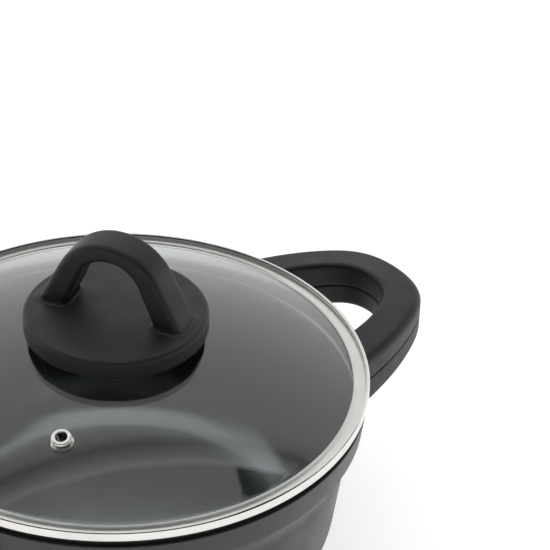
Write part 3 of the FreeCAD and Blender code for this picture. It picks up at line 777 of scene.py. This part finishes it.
def outline_distance(corners, ease):
    """Signed distance in the XY plane to a half loop and its mirror image, closed at the root."""
    half = [(x, y, r, 0) for x, y, r in corners]
    other = [(x, -y, r, 0) for x, y, r in reversed(corners[:-1])]
    ring = eased(np.array([p[:2] for p in section(half + other)]), ease)

    def distance(x, y):
        x, y = np.broadcast_arrays(x, y)
        best = np.full(x.shape, 1e9)
        within = np.zeros(x.shape, bool)
        for (ax, ay), (bx, by) in zip(ring, np.roll(ring, -1, axis=0)):
            ex, ey = bx - ax, by - ay
            t = np.clip(((x - ax) * ex + (y - ay) * ey) / max(ex * ex + ey * ey, 1e-12), 0, 1)
            best = np.minimum(best, np.hypot(x - ax - t * ex, y - ay - t * ey))
            if ay != by:
                straddles = (ay > y) != (by > y)
                within ^= straddles & (x < ax + (y - ay) / (by - ay) * ex)
        return np.where(within, -best, best)
    return distance


# half outlines of the loop seen from above: x, y and corner radius
OUTER_LOOP = outline_distance(
    [(HANDLE_ROOT, 50.2, 0), (124.2, 38.3, 120), (150.9, 20.2, 22), (HANDLE_END, 0.0, 62)], ease=7.0)
INNER_LOOP = outline_distance(
    [(HANDLE_ROOT, 33.6, 0), (121.0, 21.9, 58), (134.2, 11.6, 11), (137.6, 0.0, 25)], ease=4.5)


def tilted(x, z, end_z, slope):
    """Signed height over a plane of the handle that rises towards the loop's outer end."""
    a = math.radians(slope)
    return (z - end_z) * math.cos(a) + (HANDLE_END - x) * math.sin(a)


def pot_outside(x, y, z):
    """Roughly the signed distance outside the pot's wall, where the handle meets it."""
    profile_r, profile_z = zip((93.05, 40.0), WALL_TOP, (95.9, 62.0), COLLAR_WAIST, (99.0, 69.0),
                               COLLAR_LOW, COLLAR_TOP, (102.6, 90.0))
    return np.hypot(x, y) - np.interp(z, profile_z, profile_r)


def lugs_and_screws(x, y, z):
    """Room for the lugs inside the legs, and for the heads and shanks of the screws below them."""
    gap = 0.2
    room = np.maximum(np.maximum(x - LUG_X[1] - gap, np.abs(np.abs(y) - LUG_Y) - LUG_WIDTH / 2 - gap),
                      np.abs(z - LUG_Z) - LUG_HEIGHT / 2 - gap)
    for screw_x, screw_y in ((LUG_SCREW_X, LUG_Y), *SHELL_SCREWS):
        seat = HANDLE_LOW - (HANDLE_END - screw_x) * math.tan(math.radians(LOW_TILT)) + HEAD_DEPTH
        rho = np.hypot(x - screw_x, np.abs(y) - screw_y)
        room = np.minimum(room, np.maximum(rho - HEAD_HOLE_R, z - seat))
        room = np.minimum(room, np.maximum(rho - SHANK_HOLE_R, z - seat - SHANK_DEPTH))
    return room


def handle_loop(x, y, z):
    """The whole loop of a handle: soft upper edges, smaller lower ones, cut to the pot's wall."""
    outer, hole = OUTER_LOOP(x, y) - 0.7, -INNER_LOOP(x, y) + 0.4
    top = z - HANDLE_TOP + 0.1 * np.clip(-hole, 0, 20)
    low = -tilted(x, z, HANDLE_LOW, LOW_TILT)
    body = np.maximum(meet(outer, top, 3.6), meet(outer, low, 2.8))
    body = np.maximum(body, np.maximum(meet(hole, top, 2.0), meet(hole, low, 2.4)))
    return np.maximum(body, 0.1 - pot_outside(x, y, z))


def upper_shell(x, y, z):
    """The loop above the seam; the seam's edges are slightly rounded."""
    seam = -tilted(x, z, SEAM_Z + SEAM_GAP / 2, SEAM_TILT)
    return np.maximum(meet(handle_loop(x, y, z), seam, 0.45), -lugs_and_screws(x, y, z))


def lower_shell(x, y, z):
    """The loop below the seam."""
    seam = tilted(x, z, SEAM_Z - SEAM_GAP / 2, SEAM_TILT)
    return np.maximum(meet(handle_loop(x, y, z), seam, 0.45), -lugs_and_screws(x, y, z))


def make_handles(looks):
    """Both handles; the left one is the right one turned half round."""
    left_x, half_width = 90.0, 47.0
    shells = (("upper", upper_shell, "shell", 68.0, 85.0), ("lower", lower_shell, "shell_low", 57.0, 76.0))
    for kind, shape, look, low_z, high_z in shells:
        mesh = moulded("handle_" + kind, shape, (left_x, -half_width, low_z),
                       (HANDLE_END + 1.5, half_width, high_z))
        for side, turn in (("right", 0), ("left", 180)):
            shell = mesh.copy()
            shell.transform(Matrix.Rotation(math.radians(turn), 4, "Z"))
            name = f"handle_{side}_{kind}_shell"
            piece = new_piece(f"shell_{side}_{kind}", shell, [looks[look]], "pot", "soft_touch", name)
            piece.data.set_sharp_from_angle(angle=math.radians(60))


# ---- carried-over CAD pieces ----
def dress_cad_pieces(looks):
    """Materials for the CAD pieces that keep their own shape."""
    wearing = {
        "induction_plate": "base", "vent_washer": "steel", "knob_cover": "knob", "knob_insert": "brass",
        "knob_seal_above": "silicone", "knob_seal_below": "silicone", "knob_washer": "steel",
        "knob_screw": "zinc",
    }
    for side in ("right", "left"):
        wearing[f"handle_{side}_lug_screws"] = "zinc"
        wearing[f"handle_{side}_shell_screws"] = "zinc"
        wearing[f"handle_{side}_inserts"] = "brass"
    for node, look in wearing.items():
        for material_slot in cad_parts[node].material_slots:
            material_slot.material = looks[look]


# ---- studio ----
def make_floor():
    """Pale floor, bright enough to run into the white background."""
    half = 6
    mesh = bpy.data.meshes.new("floor")
    mesh.from_pydata([(-half, -half, 0), (half, -half, 0), (half, half, 0), (-half, half, 0)], [],
                     [(0, 1, 2, 3)])
    floor = bpy.data.objects.new("floor", mesh)
    scene.collection.objects.link(floor)
    look = Look("floor_white", Emission_Strength=0.66, Roughness=0.9)
    look.shader.inputs["Emission Color"].default_value = (0.99, 0.995, 1.0, 1.0)
    tone = look.ramp(look.noise(3), [(0.3, (0.80, 0.805, 0.815)), (0.7, (0.815, 0.82, 0.83))])
    mesh.materials.append(look.finish(tone))


class Sky(Nodes):
    """The studio's brightness, which depends on the direction only."""

    def __init__(self, world):
        super().__init__(world.node_tree)
        way = self.node("ShaderNodeSeparateXYZ")
        self.link(self.node("ShaderNodeTexCoord").outputs["Generated"], way.inputs[0])
        self.x, self.y, self.z = (way.outputs[k] for k in "XYZ")

    def work(self, operation, a, b):
        """One sum of two sockets or plain numbers."""
        made = self.node("ShaderNodeMath", operation=operation)
        for socket, value in zip(made.inputs, (a, b)):
            if isinstance(value, (int, float)):
                socket.default_value = value
            else:
                self.link(value, socket)
        return made.outputs[0]

    def blend(self, a, b, fac):
        """Level a where fac is 0 and level b where it is 1."""
        return self.work("ADD", a, self.work("MULTIPLY", fac, self.work("SUBTRACT", b, a)))

    def level(self, value, stops, start=0.0, end=1.0):
        """Brightness by (value, level) stops; levels go up to 2."""
        tones = [((at - start) / (end - start), (level / 2,) * 3) for at, level in stops]
        return self.work("MULTIPLY", self.ramp(self.spread(value, 0.0, 1.0, start, end), tones), 2.0)


def ceiling_level(sky):
    """Two panels overhead with a dark gap between them, on a flat ceiling at height one."""
    cos, sin = 0.923, 0.385         # the panels' own direction
    up = sky.work("MAXIMUM", sky.z, 0.001)
    px, py = sky.work("DIVIDE", sky.x, up), sky.work("DIVIDE", sky.y, up)
    along = sky.work("SUBTRACT", sky.work("MULTIPLY", px, cos), sky.work("MULTIPLY", py, sin))
    across = sky.work("ADD", sky.work("MULTIPLY", px, sin), sky.work("MULTIPLY", py, cos))
    # the far panel: a bright edge, a dip, then even white
    far = sky.level(across, [(0.236, 1.42), (0.285, 0.88), (0.345, 0.45), (0.39, 0.85), (0.48, 1.04)])
    # the near panel: a faint seam, and darkness beyond its end
    near = sky.level(along, [(-0.055, 0.98), (-0.048, 0.80), (-0.041, 0.90), (0.466, 0.90), (0.476, 0.0)],
                     start=-1.0)
    is_near = sky.level(across, [(0.230, 1.0), (0.241, 0.0)])
    # a dark stand low on the right, beyond the dip
    beyond = sky.work("SUBTRACT", along, sky.work("MULTIPLY", across, 0.943))
    stand = sky.work("MULTIPLY", sky.level(beyond, [(0.505, 0.0), (0.53, 1.0)]),
                     sky.level(across, [(0.34, 0.0), (0.37, 1.0), (0.85, 1.0), (0.9, 0.0)]))
    far = sky.work("MULTIPLY", far, sky.work("SUBTRACT", 1.0, stand))
    high = sky.level(sky.z, [(0.30, 0.0), (0.40, 1.0)])
    return sky.blend(1.0, sky.blend(far, near, is_near), high)


def room_level(sky):
    """The dark side of the room behind the camera, up to about fifty degrees above the floor."""
    toward = sky.work("ADD", sky.work("MULTIPLY", sky.x, -0.73), sky.work("MULTIPLY", sky.y, -0.68))
    room = sky.level(toward, [(-0.05, 1.0), (0.40, 0.06)], start=-1.0)
    over = sky.level(sky.z, [(0.74, 0.0), (0.90, 1.0)])
    return sky.work("MAXIMUM", room, over)


def make_world():
    """White studio, with what the lid and the bowl reflect of its ceiling and its dark side."""
    world = bpy.data.worlds.new("studio")
    scene.world = world
    world.use_nodes = True
    sky = Sky(world)
    background = world.node_tree.nodes["Background"]
    background.inputs["Color"].default_value = (0.985, 0.995, 1.0, 1.0)
    sky.link(sky.work("MULTIPLY", ceiling_level(sky), room_level(sky)), background.inputs["Strength"])


make_camera()
looks = make_materials()
make_pot(looks)
make_glass(looks)
make_rim(looks)
make_vent(looks)
make_knob(looks)
make_handles(looks)
dress_cad_pieces(looks)
make_floor()
make_world()
scene.view_settings.view_transform = "Standard"
